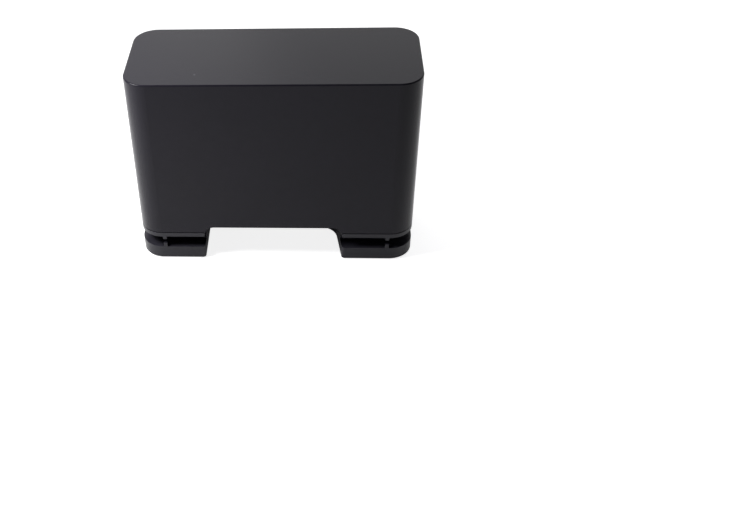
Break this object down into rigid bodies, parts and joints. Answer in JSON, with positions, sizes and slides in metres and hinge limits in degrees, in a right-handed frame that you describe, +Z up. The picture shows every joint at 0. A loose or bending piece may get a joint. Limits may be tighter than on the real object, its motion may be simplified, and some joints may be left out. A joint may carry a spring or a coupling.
{
  "type": "robot vacuum charging dock",
  "caption": "Charcoal upright box with rounded corners that charges a robot vacuum: sprung front contacts, dark homing window, cord groove round the base and an arched plug recess.",
  "frame": {"origin": "on the floor, under the middle of the dock's box with its sprung contacts out", "axes": "+Z up; +Y out of the front that meets the robot, so the wall side is -Y; +X along the width"},
  "size_m": [0.108, 0.046, 0.0795],
  "materials": {
    "shell_plastic": "fine satin mould texture, charcoal",
    "base_plastic": "satin mould texture, charcoal",
    "window_plastic": "polished, infrared-passing, near black",
    "board_laminate": "green solder mask",
    "inner_plastic": "plain moulded, black",
    "led_resin": "clear cast resin with a blue tint",
    "nickel_plate": "bright nickel plate",
    "spring_steel": "rolled strip, folded",
    "brass": "stamped",
    "lead_insulation": "black insulation on copper",
    "connector_nylon": "natural nylon",
    "capacitor_can": "drawn can",
    "ferrite": "pressed ferrite",
    "chip_resin": "moulded epoxy",
    "ballast_steel": "sawn mild steel",
    "foot_rubber": "soft, matte",
    "screw_steel": "zinc plated"
  },
  "bodies": {
    "dock": {"ballast_centre": "ballast_steel", "ballast_left": "ballast_steel", "ballast_right": "ballast_steel", "base_frame": "base_plastic", "board_screws": "screw_steel", "board_socket": "connector_nylon", "bottom_plate": "base_plastic", "case_screws": "screw_steel", "charge_controller_chip": "chip_resin", "contact_housing": "inner_plastic", "dc_jack_body": "inner_plastic", "dc_jack_pin": "nickel_plate", "dc_jack_sleeve_contact": "nickel_plate", "filter_capacitor": "capacitor_can", "ir_led_centre": "led_resin", "ir_led_left": "led_resin", "ir_led_right": "led_resin", "ir_window": "window_plastic", "jack_lead": "lead_insulation", "lead_plug": "connector_nylon", "led_shroud": "inner_plastic", "left_contact_spring": "spring_steel", "left_contact_terminal": "brass", "main_board": "board_laminate", "outer_shell": "shell_plastic", "power_inductor": "ferrite", "right_contact_spring": "spring_steel", "right_contact_terminal": "brass", "rubber_foot_left_back": "foot_rubber", "rubber_foot_left_front": "foot_rubber", "rubber_foot_right_back": "foot_rubber", "rubber_foot_right_front": "foot_rubber"},
    "left_contact": {"left_charging_contact": "nickel_plate"},
    "right_contact": {"right_charging_contact": "nickel_plate"}
  },
  "joints": [
    {"name": "left_contact_press", "type": "slide", "parent": "dock", "child": "left_contact", "axis": [0, -1, 0], "range_m": [0, 0.0025], "stiffness_N_per_m": 300, "springref_m": -0.003, "deforming": ["left_contact_spring"]},
    {"name": "right_contact_press", "type": "slide", "parent": "dock", "child": "right_contact", "axis": [0, -1, 0], "range_m": [0, 0.0025], "stiffness_N_per_m": 300, "springref_m": -0.003, "deforming": ["right_contact_spring"]}
  ]
}
